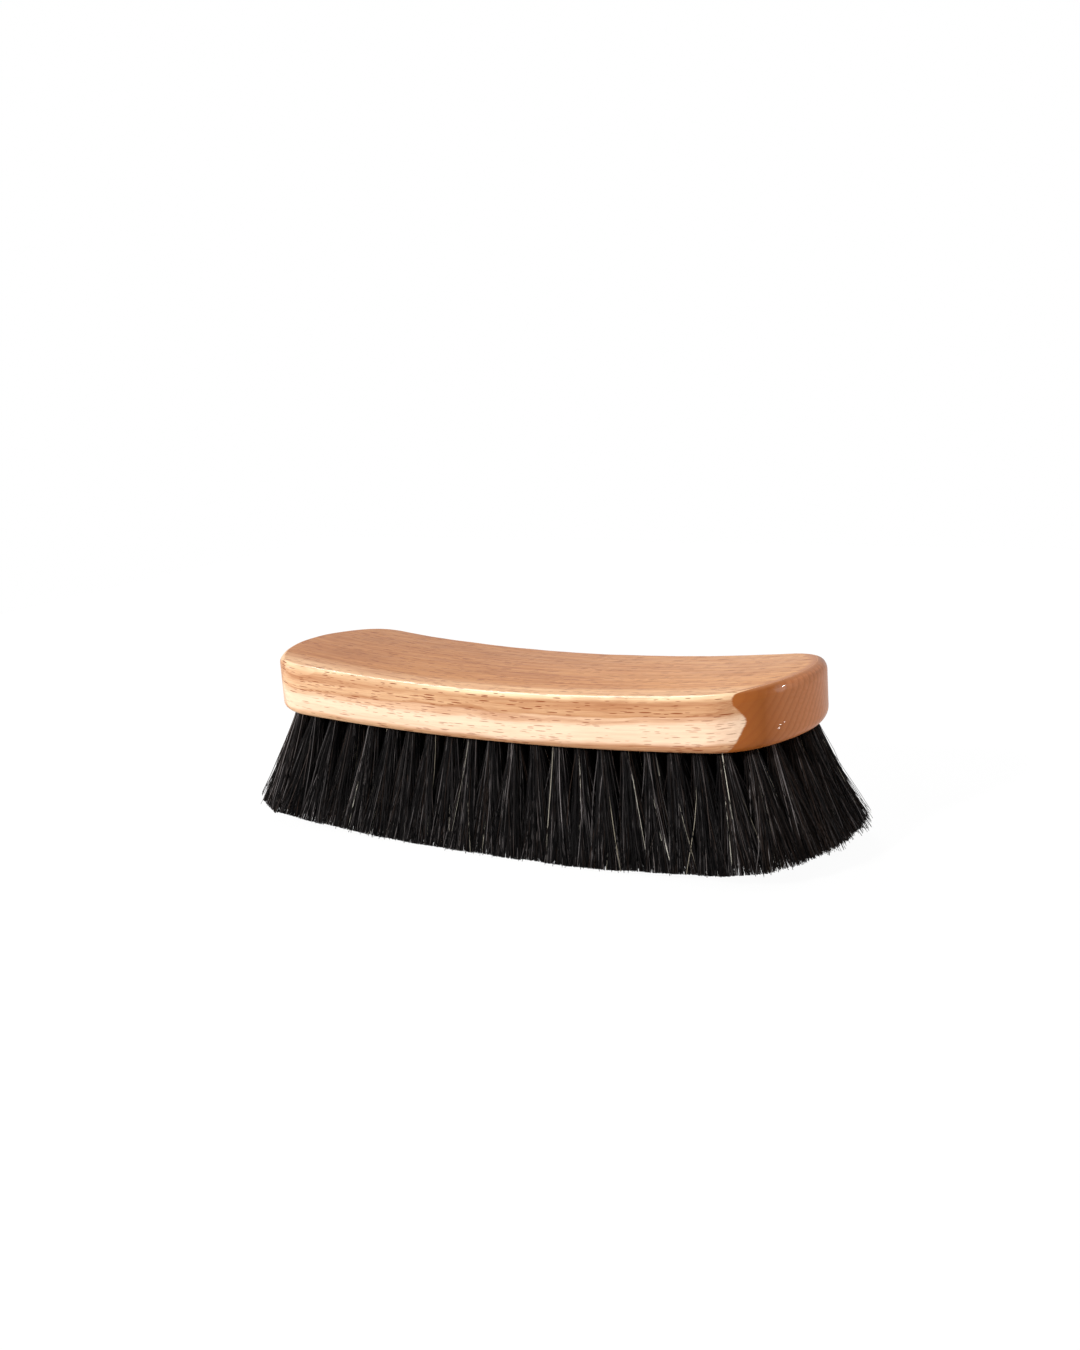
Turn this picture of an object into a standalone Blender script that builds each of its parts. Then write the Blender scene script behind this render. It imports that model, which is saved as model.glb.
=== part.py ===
"""Horsehair brush: a saddle-shaped beech block with its sole drilled and set with hair.

Metres, +Z up. X runs along the block and Y across it. The hair tips stand on Z = 0, under
the middle of the block. Shapes are drawn about the middle of the sole, and hang there from
one empty.
"""

import math
from collections import namedtuple

import bmesh
import bpy

# Beech block: the back is hollowed and the sole rocks, both along the length
BLOCK_LENGTH = 0.170
BLOCK_WIDTH = 0.0534
BLOCK_THICKNESS = 0.0142
BACK_RADIUS = 0.656
SOLE_RADIUS = 0.938
END_RADIUS = 0.0368
CORNER_RADIUS = 0.016
BACK_ROUND = 0.003
SOLE_ROUND = 0.0020

# Drilled field of the sole: plates let into the block
FIELD_LAND = 0.0002
FIELD_DEPTH = 0.0027
SEAT_GAP = 0.0003

# Tufts: one line round the rim, straight rows inside it
TUFT_PITCH = 0.0069
TUFT_RADIUS = 0.0021
TUFT_EDGE = 0.0006
RIM_SHIFT = 0.0016
RIM_SECTIONS = 9
INNER_ROWS = 5
ROW_SECTIONS = 3

# Hair: each tuft parts into locks that fan out to the trimmed tips
LOCKS_PER_TUFT = 3
LOCK_PARTING = math.radians(5.6)
LOCK_CORE_SHARE = 0.12
TIP_FILL_SHARE = 0.47
ROOT_DEPTH = 0.0010
ROOT_EXIT = 0.0004
HAIR_HEIGHT = 0.0315
TIPS_LENGTH = 0.1858
TIPS_WIDTH = 0.0618
TRIM_RADIUS = 0.645
STANDING_CUT = 0.0005

# Facets
SIDE_STEPS = 16
CORNER_STEPS = 8
END_STEPS = 12
ROUND_STEPS = 4
TAIL_STEPS = 2
TUFTS_PER_FACET = 3
SMOOTH_ANGLE = math.radians(35)

# Colours and finishes
BEECH_COLOUR = (0.72, 0.44, 0.22, 1.0)
BEECH_ROUGHNESS = 0.35
HAIR_COLOUR = (0.012, 0.011, 0.011, 1.0)
HAIR_ROUGHNESS = 0.5

# Places worked out from the sizes above
CORNER_Y = BLOCK_WIDTH / 2 - CORNER_RADIUS
END_X = BLOCK_LENGTH / 2 - END_RADIUS
CORNER_X = END_X + math.sqrt((END_RADIUS - CORNER_RADIUS) ** 2 - CORNER_Y ** 2)
END_HALF_ANGLE = math.atan2(CORNER_Y, CORNER_X - END_X)
POCKET_INSET = SOLE_ROUND + FIELD_LAND
POCKET_DEPTH = FIELD_DEPTH + SEAT_GAP
PLATE_INSET = POCKET_INSET + SEAT_GAP
RIM_INSET = PLATE_INSET + TUFT_RADIUS + TUFT_EDGE
ROW_SPACING = (BLOCK_WIDTH / 2 - RIM_INSET) * 2 / (INNER_ROWS + 1)
RIM_INNER_INSET = RIM_INSET + (ROW_SPACING - SEAT_GAP) / 2
ROWS_INSET = RIM_INNER_INSET + 2 * SEAT_GAP
TIP_RADIUS = TIP_FILL_SHARE * min(TUFT_PITCH, ROW_SPACING)
SPREAD_X = TIPS_LENGTH / 2 / (BLOCK_LENGTH / 2 - RIM_INSET + TIP_RADIUS)
SPREAD_Y = TIPS_WIDTH / 2 / (BLOCK_WIDTH / 2 - RIM_INSET + TIP_RADIUS)
SPREAD_TIP_RADIUS = TIP_RADIUS * min(SPREAD_X, SPREAD_Y)
SOLE_HEIGHT = HAIR_HEIGHT - STANDING_CUT

Piece = namedtuple("Piece", "length place steps")
Tuft = namedtuple("Tuft", "x y facing")


def clear_scene():
    for item in list(bpy.data.objects):
        bpy.data.objects.remove(item)


def make_material(name, colour, roughness):
    material = bpy.data.materials.new(name)
    material.use_nodes = True
    shader = material.node_tree.nodes["Principled BSDF"]
    shader.inputs["Base Color"].default_value = colour
    shader.inputs["Roughness"].default_value = roughness
    return material


def make_object(name, mesh_source, material, parent):
    """Turn a bmesh into a named object that hangs from the parent."""
    bmesh.ops.recalc_face_normals(mesh_source, faces=mesh_source.faces)
    mesh = bpy.data.meshes.new(name)
    mesh_source.to_mesh(mesh)
    mesh_source.free()
    mesh.materials.append(material)
    item = bpy.data.objects.new(name, mesh)
    item.parent = parent
    bpy.context.collection.objects.link(item)
    return item


def rise(x, radius):
    """Height of a rocking curve over its lowest point, a distance x along it."""
    return radius - math.sqrt(radius ** 2 - x ** 2)


def sole_level(x):
    return rise(x, SOLE_RADIUS)


def back_level(x):
    return BLOCK_THICKNESS + rise(x, BACK_RADIUS)


def tip_level(x):
    """Trimmed tips rock like the sole, and are cut flat where the brush stands on them."""
    return max(rise(x, TRIM_RADIUS) - HAIR_HEIGHT, -SOLE_HEIGHT)


def side_piece(facing):
    """Straight run of the outline: -1 is the front, which runs to +X, and 1 is the back."""
    def length(inset):
        return 2 * CORNER_X

    def place(share, inset):
        x = facing * CORNER_X * (1 - 2 * share)
        return x, facing * (BLOCK_WIDTH / 2 - inset), facing * math.pi / 2

    return Piece(length, place, SIDE_STEPS)


def arc_piece(centre_x, centre_y, radius, start, end, steps):
    """Round run of the outline, with its sweep in radians."""
    def length(inset):
        return (radius - inset) * (end - start)

    def place(share, inset):
        angle = start + (end - start) * share
        x = centre_x + (radius - inset) * math.cos(angle)
        y = centre_y + (radius - inset) * math.sin(angle)
        return x, y, angle

    return Piece(length, place, steps)


def outline_pieces():
    """Outline of the block in plan, anticlockwise from the front's left end."""
    pieces = []
    for half, turn in ((1, 0.0), (-1, math.pi)):
        corner_x = half * CORNER_X
        corner_y = half * CORNER_Y
        before = turn - END_HALF_ANGLE
        after = turn + END_HALF_ANGLE
        quarter = math.pi / 2
        pieces.append(side_piece(-half))
        pieces.append(arc_piece(corner_x, -corner_y, CORNER_RADIUS, turn - quarter, before, CORNER_STEPS))
        pieces.append(arc_piece(half * END_X, 0.0, END_RADIUS, before, after, END_STEPS))
        pieces.append(arc_piece(corner_x, corner_y, CORNER_RADIUS, after, turn + quarter, CORNER_STEPS))
    return pieces


OUTLINE = outline_pieces()
RIM_LENGTH = sum(piece.length(RIM_INSET) for piece in OUTLINE)


def outline_ring(inset, level):
    """Points of the outline, moved in by the inset and lifted to the level at their x."""
    points = []
    for piece in OUTLINE:
        for step in range(piece.steps):
            x, y, _ = piece.place(step / piece.steps, inset)
            points.append((x, y, level(x)))
    return points


def block_rings():
    """The block's surface from the pocket's ceiling, round the outside, to the back."""
    rings = [
        outline_ring(POCKET_INSET, lambda x: sole_level(x) + POCKET_DEPTH),
        outline_ring(POCKET_INSET, sole_level),
    ]
    angles = [math.pi / 2 * step / ROUND_STEPS for step in range(ROUND_STEPS + 1)]
    for angle in angles:
        lift = SOLE_ROUND * (1 - math.cos(angle))
        inset = SOLE_ROUND * (1 - math.sin(angle))
        rings.append(outline_ring(inset, lambda x: sole_level(x) + lift))
    for angle in reversed(angles):
        drop = BACK_ROUND * (1 - math.cos(angle))
        inset = BACK_ROUND * (1 - math.sin(angle))
        rings.append(outline_ring(inset, lambda x: back_level(x) - drop))
    return rings


def cap_ring(shape, ring):
    """Close a ring with strips across the block, so that the cap bends along X only."""
    count = len(ring)
    left_tip = count - CORNER_STEPS - END_STEPS // 2
    mirror = 2 * (SIDE_STEPS + CORNER_STEPS) + END_STEPS
    front = [(left_tip + step) % count for step in range(count // 2 + 1)]
    back = [(mirror - index) % count for index in front]
    for step in range(count // 2):
        corners = [front[step], front[step + 1], back[step + 1], back[step]]
        shape.faces.new([ring[index] for index in dict.fromkeys(corners)])


def make_block(material, parent):
    """One-piece beech block with a pocket in its sole for the drilled field."""
    shape = bmesh.new()
    rings = [[shape.verts.new(point) for point in points] for points in block_rings()]
    for lower, upper in zip(rings, rings[1:]):
        for index in range(len(lower)):
            following = (index + 1) % len(lower)
            shape.faces.new((lower[index], lower[following], upper[following], upper[index]))
    cap_ring(shape, rings[0])
    cap_ring(shape, rings[-1])
    block = make_object("beech_block", shape, material, parent)
    block.data.shade_smooth()
    block.data.set_sharp_from_angle(angle=SMOOTH_ANGLE)
    return block


def rim_place(distance, inset):
    """Point and outward angle, a distance along the rim tufts' line, moved to the inset."""
    distance %= RIM_LENGTH
    for piece in OUTLINE:
        length = piece.length(RIM_INSET)
        if distance < length:
            return piece.place(distance / length, inset)
        distance -= length
    return OUTLINE[0].place(0.0, inset)


def rim_bend(distance, spacing):
    """Whether the rim tufts' line turns within a spacing of the distance."""
    before = rim_place(distance - spacing, RIM_INSET)
    after = rim_place(distance + spacing, RIM_INSET)
    return before[2] != after[2]


def rim_sections():
    """Tufts and plate edges of each section of the rim."""
    per_section = math.floor(RIM_LENGTH / RIM_SECTIONS / TUFT_PITCH)
    spacing = RIM_LENGTH / RIM_SECTIONS / per_section
    sections = []
    for section in range(RIM_SECTIONS):
        first = CORNER_X - RIM_SHIFT + section * per_section * spacing
        places = [rim_place(first + step * spacing, RIM_INSET) for step in range(per_section)]
        partings = [first + (step - 0.5) * spacing for step in range(per_section + 1)]
        stations = [partings[0] + SEAT_GAP / 2]
        for step, parting in enumerate(partings[1:-1], 1):
            if step % TUFTS_PER_FACET == 0 or rim_bend(parting, spacing):
                stations.append(parting)
        stations.append(partings[-1] - SEAT_GAP / 2)
        edges = []
        for station in stations:
            outer = rim_place(station, PLATE_INSET)
            inner = rim_place(station, RIM_INNER_INSET)
            edges.append((outer[:2], inner[:2]))
        sections.append(([Tuft(*place) for place in places], edges))
    return sections


def reach(y, inset):
    """Half length of the outline, moved in by the inset, at a distance y from the middle."""
    y = abs(y)
    end = END_RADIUS - inset
    corner = CORNER_RADIUS - inset
    if y < end * math.sin(END_HALF_ANGLE):
        return END_X + math.sqrt(end ** 2 - y ** 2)
    return CORNER_X + math.sqrt(max(0.0, corner ** 2 - (y - CORNER_Y) ** 2))


def row_tail(low, high):
    """Edge points at a row plate's +X end, where the round of the field narrows it."""
    far, near = (low, high) if abs(low) > abs(high) else (high, low)
    if far * near < 0:
        return [((reach(far, ROWS_INSET), low), (reach(far, ROWS_INSET), high))]
    tail = []
    narrowest = near + (far - near) / (2 * TAIL_STEPS)
    for step in range(TAIL_STEPS + 1):
        y = far + (narrowest - far) * step / TAIL_STEPS
        x = reach(y, ROWS_INSET)
        tail.append(((x, y), (x, near)) if far == low else ((x, near), (x, y)))
    return tail


def row_sections(row):
    """Tufts and plate edges of each section of an inner row, counted from the front."""
    y = (row - (INNER_ROWS - 1) / 2) * ROW_SPACING
    low = y - (ROW_SPACING - SEAT_GAP) / 2
    high = y + (ROW_SPACING - SEAT_GAP) / 2
    half_length = reach(y, RIM_INSET + TUFT_PITCH)
    count = math.floor(2 * half_length / TUFT_PITCH) + 1
    spacing = 2 * half_length / (count - 1)
    tail = row_tail(low, high)
    head = [((-a[0], a[1]), (-b[0], b[1])) for a, b in reversed(tail)]
    firsts = [round(count * section / ROW_SECTIONS) for section in range(ROW_SECTIONS + 1)]
    sections = []
    for first, after in zip(firsts, firsts[1:]):
        tufts = []
        for index in range(first, after):
            facing = math.pi / 2 * (-1) ** (index + row)
            tufts.append(Tuft(spacing * index - half_length, y, facing))
        begin = tufts[0].x - (spacing - SEAT_GAP) / 2
        finish = tufts[-1].x + (spacing - SEAT_GAP) / 2
        bends = [tuft.x - spacing / 2 for tuft in tufts[TUFTS_PER_FACET::TUFTS_PER_FACET]]
        edges = head if first == 0 else [((begin, low), (begin, high))]
        edges = edges + [((x, low), (x, high)) for x in bends]
        edges += tail if after == count else [((finish, low), (finish, high))]
        sections.append((tufts, edges))
    return sections


def plate_shape(edges):
    """Slice of the drilled sole between its two edges, bent to the sole's curve."""
    shape = bmesh.new()
    stations = []
    for (a_x, a_y), (b_x, b_y) in edges:
        a_level = sole_level(a_x)
        b_level = sole_level(b_x)
        corners = (
            (a_x, a_y, a_level),
            (b_x, b_y, b_level),
            (b_x, b_y, b_level + FIELD_DEPTH),
            (a_x, a_y, a_level + FIELD_DEPTH),
        )
        stations.append([shape.verts.new(corner) for corner in corners])
    join_loops(shape, stations)
    return shape


def join_loops(shape, loops):
    """Skin a run of loops and close both of its ends."""
    for near, far in zip(loops, loops[1:]):
        for index in range(len(near)):
            following = (index + 1) % len(near)
            shape.faces.new((near[index], near[following], far[following], far[index]))
    shape.faces.new(reversed(loops[0]))
    shape.faces.new(loops[-1])


def lock_outline(facing, index):
    """Unit kite of one lock, its share of the tuft's round less the parting either side.

    The tuft's first parting lies where the tuft faces.
    """
    middle = facing + (2 * index + 1) * math.pi / LOCKS_PER_TUFT
    half = math.pi / LOCKS_PER_TUFT - LOCK_PARTING
    corners = ((LOCK_CORE_SHARE, 0.0), (1.0, -half), (1.0, 0.0), (1.0, half))
    return [(r * math.cos(middle + turn), r * math.sin(middle + turn)) for r, turn in corners]


def lock_loop(shape, centre, radius, level, outline):
    """One level ring of a lock's corners."""
    corners = [(centre[0] + radius * u, centre[1] + radius * v, level) for u, v in outline]
    return [shape.verts.new(corner) for corner in corners]


def locks_shape(tufts):
    """Locks of hair from inside the wood, straight out of it, and fanned to the tips."""
    shape = bmesh.new()
    for tuft in tufts:
        root = (tuft.x, tuft.y)
        tip = (SPREAD_X * tuft.x, SPREAD_Y * tuft.y)
        root_level = sole_level(tuft.x)
        for index in range(LOCKS_PER_TUFT):
            outline = lock_outline(tuft.facing, index)
            loops = [
                lock_loop(shape, root, TUFT_RADIUS, root_level + ROOT_DEPTH, outline),
                lock_loop(shape, root, TUFT_RADIUS, root_level + ROOT_EXIT, outline),
                lock_loop(shape, tip, SPREAD_TIP_RADIUS, tip_level(tip[0]), outline),
            ]
            join_loops(shape, loops)
    return shape


def make_section(name, tufts, edges, material, parent):
    """Slice of the drilled sole with its tufts of hair, joined into one body."""
    section = make_object(name, plate_shape(edges), material, parent)
    locks = make_object(name + "_locks", locks_shape(tufts), material, parent)
    locks.hide_render = True
    locks.display_type = "WIRE"
    union = section.modifiers.new("locks", "BOOLEAN")
    union.operation = "UNION"
    union.solver = "EXACT"
    union.object = locks
    return section


def make_sections(material, parent):
    for number, (tufts, edges) in enumerate(rim_sections(), 1):
        make_section(f"rim_tufts_{number}", tufts, edges, material, parent)
    for row in range(INNER_ROWS):
        for number, (tufts, edges) in enumerate(row_sections(row), 1):
            make_section(f"row_{row + 1}_tufts_{number}", tufts, edges, material, parent)


def main():
    clear_scene()
    sole = bpy.data.objects.new("sole_middle", None)
    sole.location.z = SOLE_HEIGHT
    bpy.context.collection.objects.link(sole)
    beech = make_material("beech", BEECH_COLOUR, BEECH_ROUGHNESS)
    horsehair = make_material("horsehair", HAIR_COLOUR, HAIR_ROUGHNESS)
    make_block(beech, sole)
    make_sections(horsehair, sole)


main()
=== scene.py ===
"""Looks of the horsehair brush: lacquered beech, tufts modelled hair by hair, plain studio light.

Metres, +Z up, in the frame's own place: X along the block, Y across it, hair tips on Z = 0.
"""

import math
from types import SimpleNamespace

import bmesh
import bpy
import numpy as np
from mathutils import Matrix, Vector, geometry


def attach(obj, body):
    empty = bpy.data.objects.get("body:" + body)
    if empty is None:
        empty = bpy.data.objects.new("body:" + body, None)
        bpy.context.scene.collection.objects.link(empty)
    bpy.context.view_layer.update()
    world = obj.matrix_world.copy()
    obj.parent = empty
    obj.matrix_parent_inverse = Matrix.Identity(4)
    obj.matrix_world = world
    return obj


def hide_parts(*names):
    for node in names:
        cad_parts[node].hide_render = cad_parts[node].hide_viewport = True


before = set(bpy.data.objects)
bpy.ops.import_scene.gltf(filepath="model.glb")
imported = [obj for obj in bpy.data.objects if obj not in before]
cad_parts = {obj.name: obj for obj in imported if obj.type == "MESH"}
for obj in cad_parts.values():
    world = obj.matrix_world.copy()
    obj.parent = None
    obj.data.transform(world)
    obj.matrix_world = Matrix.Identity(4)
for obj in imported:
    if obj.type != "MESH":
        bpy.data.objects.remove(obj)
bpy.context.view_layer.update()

# Block
BLOCK_LENGTH = 0.170
BLOCK_WIDTH = 0.0534
BLOCK_THICKNESS = 0.0142
BACK_RADIUS = 0.656
SOLE_RADIUS = 0.938
END_RADIUS = 0.0368
CORNER_RADIUS = 0.016
BACK_ROUND = 0.003
SOLE_ROUND = 0.0022
SOLE_ROUND_HEIGHT = 0.0030
ROUND_STEPS = 9
RUN_STEPS = (72, 22, 34, 22)
SHARP_ANGLE = 40
SAME_PLACE = 1e-7

# Hand of the sander: depth, its waves (count round the block, size share, start) and their shifts
SANDING = 0.0003
SANDING_WAVES = ((7, 0.30, 0.4), (13, 0.30, 2.1), (22, 0.22, 4.4), (37, 0.18, 1.2))
SOLE_SHIFT = 0.7
BACK_SHIFT = 3.1

# Sharper rounding at the left end
CRISP_SHARE = 0.4
CRISP_START = 0.055
CRISP_LENGTH = 0.020

# Tufts
TUFT_PITCH = 0.0069
TUFT_RADIUS = 0.0021
RIM_INSET = 0.0052
RIM_SHIFT = 0.0016
RIM_SECTIONS = 9
INNER_ROWS = 5
ROW_SECTIONS = 3
HOLE_RADIUS = 0.00225
HOLE_DEPTH = 0.0060
HOLE_SIDES = 18

# Hair
HAIR_HEIGHT = 0.0315
TIPS_LENGTH = 0.1858
TIPS_WIDTH = 0.0618
TRIM_RADIUS = 0.645
STANDING_CUT = 0.0005
TIP_FILL_SHARE = 0.47
RIM_HAIRS = 520
INNER_HAIRS = 100
RIM_HAIR_RADIUS = 0.000086
INNER_HAIR_RADIUS = 0.000145
HAIR_TAPER_SHARE = 0.05
HAIR_LEVELS = 6
FIRST_SEED = 11

# Roots of the hairs in their hole
GOLDEN_ANGLE = 2.399963
ROOT_FILL_SHARE = 0.76
ROOT_SCATTER_SHARE = 0.05
ROOT_DEPTH = 0.0012
END_ROOT_INSET = 0.0005

# Tips gather in wisps, and fill a cell of the trimmed face that is wider where the rim turns
WISPS = 14
WISP_REACH_SHARE = 0.9
WISP_PULL_SHARE = 0.45
CELL_WIDTH_SHARE = 0.63
CELL_DEPTH_SHARE = 0.58
STRAIGHT_FACING = 0.02
CORNER_FAN_SHARE = 1.28
END_FAN_SHARE = 1.1
SCATTER = 0.00045
LOOSE_SHARE = 0.27
LOOSE_SCATTER = 0.0025
TUFT_LEAN = 0.00030
STRAY_REACH = (0.0034, 0.0012)

# Outer hairs that end on a dense wall, and the few that pass it
FRINGE_SHARE = 0.42
FRINGE_WIDTH_SHARE = 0.58
FRINGE_FROM_SHARE = -0.4
WALL_DEPTH = 0.00030
ASTRAY_SHARE = 0.008
ASTRAY_REACH = 0.0012

# What is added for tufts that face an end of the block, from where they start to face it
END_FACING = 0.4
END_FACING_RISE = 2
END_WALL = 0.0007
END_WALL_DEPTH_SHARE = 2
END_ASTRAY_SHARE = 0.035
END_UNEVEN_SHARE = 2.5

# Trim and bend of the hairs
UNEVEN_TRIM = 0.00011
LONG_SHARE = 0.04
LONG_TIMES = 3
SHORT_SHARE = 0.10
SHORT_CUT_SHARES = (0.08, 0.45)
LEAN_POWER = 1.04
OPENING_POWERS = (1.05, 1.55)
BOW = 0.00028
SWAY = 0.00014
LOOSE_BEND = 2.2

# Looks of the hairs: black, some grey, a few light and fewer pale, browner near the ends of the block; the
# grey and light tones are partly painted sheen
THICKNESS_SHARES = (0.75, 1.25)
BLACK_TONE = 0.07
GREY_AND_SHEEN_SHARE = 0.18
GREY_AND_SHEEN_TONES = (0.08, 0.42)
LIGHT_AND_SHEEN_SHARE = 0.055
LIGHT_AND_SHEEN_TONES = (0.4, 1.0)
LIGHT_THICKNESS_SHARE = 1.4
# Inner rows darkened: painted shade between the tufts
INNER_SHADE_SHARE = 0.15
RIM_PALE_SHARE = 0.012
INNER_PALE_SHARE = 0.002
PALE_THICKNESS_SHARES = (0.7, 1.4)
BROWN_FROM_SHARE = 0.78
BROWN_RISE = 5
BROWN_TOP_SHARE = 0.8
BROWN_POWER = 3
ODD_BROWN_SHARE = 0.15
ODD_BROWN_TOP_SHARE = 0.35

# Cell of a hair in the map for baking: its margin, the strip of its sides, and its end caps
MAP_MARGIN_SHARE = 0.05
MAP_STRIP_SHARES = (0.9, 0.7)
MAP_CAP_SHARES = (0.3, 0.12)
MAP_CAP_PLACE_SHARES = ((0.10, 0.83), (0.60, 0.83))

# Places worked out from the sizes above
CORNER_Y = BLOCK_WIDTH / 2 - CORNER_RADIUS
END_X = BLOCK_LENGTH / 2 - END_RADIUS
CORNER_X = END_X + math.sqrt((END_RADIUS - CORNER_RADIUS) ** 2 - CORNER_Y ** 2)
END_HALF_ANGLE = math.atan2(CORNER_Y, CORNER_X - END_X)
ROW_SPACING = (BLOCK_WIDTH / 2 - RIM_INSET) * 2 / (INNER_ROWS + 1)
TIP_RADIUS = TIP_FILL_SHARE * min(TUFT_PITCH, ROW_SPACING)
SPREAD_X = TIPS_LENGTH / 2 / (BLOCK_LENGTH / 2 - RIM_INSET + TIP_RADIUS)
SPREAD_Y = TIPS_WIDTH / 2 / (BLOCK_WIDTH / 2 - RIM_INSET + TIP_RADIUS)
SOLE_HEIGHT = HAIR_HEIGHT - STANDING_CUT

# Camera, with its focal length in pixels of the photo
PICTURE_HEIGHT = 1350
FOCAL_PIXELS = 1610.229
SENSOR = 36.0
CAMERA_AZIMUTH = 33.434
CAMERA_ELEVATION = 12.65
CAMERA_ROLL = -4.16
CAMERA_DISTANCE = 0.458255
CAMERA_NEAR = 0.01
TARGET_X = 0.000641
TARGET_ABOVE_SOLE = 0.012976

# Lamps: name, azimuth, elevation, distance, size, share of the light that shows a colour as it is, tint
LAMP_TARGET = (0, 0, 0.035)
LAMPS = (
    ("key", -104, 27, 1.3, 0.14, 0.92, (1.0, 0.985, 0.965)),
    ("left", -160, 20, 1.3, 0.3, 0.25, (1, 1, 1)),
    ("back", 138, 44, 1.3, 0.30, 0.34, (1, 1, 1)),
    ("fill", 25, 25, 1.3, 0.8, 0.08, (1, 1, 1)),
    ("glint", 31, 41, 1.1, 0.05, 0.08, (1, 1, 1)),
)

# White surroundings
FLOOR_HALF = 0.5
FLOOR_DROP = 0.0002
FLOOR_GREY = 0.86
FLOOR_GLOW = 1.03
FLOOR_GLOW_SHARE = 0.93
SKY_LIGHT = 0.28


# Shape helpers


def rise(x, radius):
    return radius - np.sqrt(radius ** 2 - np.square(x))


def sole_z(x):
    return SOLE_HEIGHT + rise(x, SOLE_RADIUS)


def back_z(x):
    return SOLE_HEIGHT + BLOCK_THICKNESS + rise(x, BACK_RADIUS)


def tip_z(x):
    return np.maximum(SOLE_HEIGHT + rise(x, TRIM_RADIUS) - HAIR_HEIGHT, 0.0)


def outline_runs():
    """Runs of the outline in plan, anticlockwise from the front's left end."""
    runs = []
    quarter = math.pi / 2
    for half, turn in ((1, 0.0), (-1, math.pi)):
        corner = (half * CORNER_X, half * CORNER_Y)
        runs.append(("side", -half, 2 * CORNER_X))
        runs.append(("arc", (corner[0], -corner[1], CORNER_RADIUS), turn - quarter, turn - END_HALF_ANGLE))
        runs.append(("arc", (half * END_X, 0.0, END_RADIUS), turn - END_HALF_ANGLE, turn + END_HALF_ANGLE))
        runs.append(("arc", (corner[0], corner[1], CORNER_RADIUS), turn + END_HALF_ANGLE, turn + quarter))
    return runs


RUNS = outline_runs()


def run_length(run, inset):
    if run[0] == "side":
        return run[2]
    return (run[1][2] - inset) * (run[3] - run[2])


def run_place(run, share, inset):
    """Point in plan and the outward angle there."""
    if run[0] == "side":
        facing = run[1]
        return facing * CORNER_X * (1 - 2 * share), facing * (BLOCK_WIDTH / 2 - inset), facing * math.pi / 2
    (x, y, radius), start, end = run[1:]
    angle = start + (end - start) * share
    return x + (radius - inset) * math.cos(angle), y + (radius - inset) * math.sin(angle), angle


RIM_LENGTH = sum(run_length(run, RIM_INSET) for run in RUNS)


def rim_place(distance):
    """Point of the rim's line of tufts and the outward angle there."""
    distance %= RIM_LENGTH
    for run in RUNS:
        length = run_length(run, RIM_INSET)
        if distance < length:
            return run_place(run, distance / length, RIM_INSET)
        distance -= length
    return run_place(RUNS[0], 0.0, RIM_INSET)


def reach(y, inset):
    """How far the outline, set in by inset, reaches along X at a distance y from the middle."""
    y = abs(y)
    end = END_RADIUS - inset
    corner = CORNER_RADIUS - inset
    if y < end * math.sin(END_HALF_ANGLE):
        return END_X + math.sqrt(end ** 2 - y ** 2)
    return CORNER_X + math.sqrt(max(0.0, corner ** 2 - (y - CORNER_Y) ** 2))


def tuft_groups():
    """The tufts of each CAD node, by the node's name."""
    groups = {}
    per_section = math.floor(RIM_LENGTH / RIM_SECTIONS / TUFT_PITCH)
    spacing = RIM_LENGTH / RIM_SECTIONS / per_section
    for section in range(RIM_SECTIONS):
        first = CORNER_X - RIM_SHIFT + section * per_section * spacing
        tufts = [rim_place(first + step * spacing) for step in range(per_section)]
        groups[f"rim_tufts_{section + 1}"] = tufts
    for row in range(INNER_ROWS):
        y = (row - (INNER_ROWS - 1) / 2) * ROW_SPACING
        half_length = reach(y, RIM_INSET + TUFT_PITCH)
        count = math.floor(2 * half_length / TUFT_PITCH) + 1
        step = 2 * half_length / (count - 1)
        firsts = [round(count * section / ROW_SECTIONS) for section in range(ROW_SECTIONS + 1)]
        for section, (first, after) in enumerate(zip(firsts, firsts[1:]), 1):
            tufts = [(step * index - half_length, y, math.pi / 2) for index in range(first, after)]
            groups[f"row_{row + 1}_tufts_{section}"] = tufts
    return groups


# Node helpers


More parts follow.
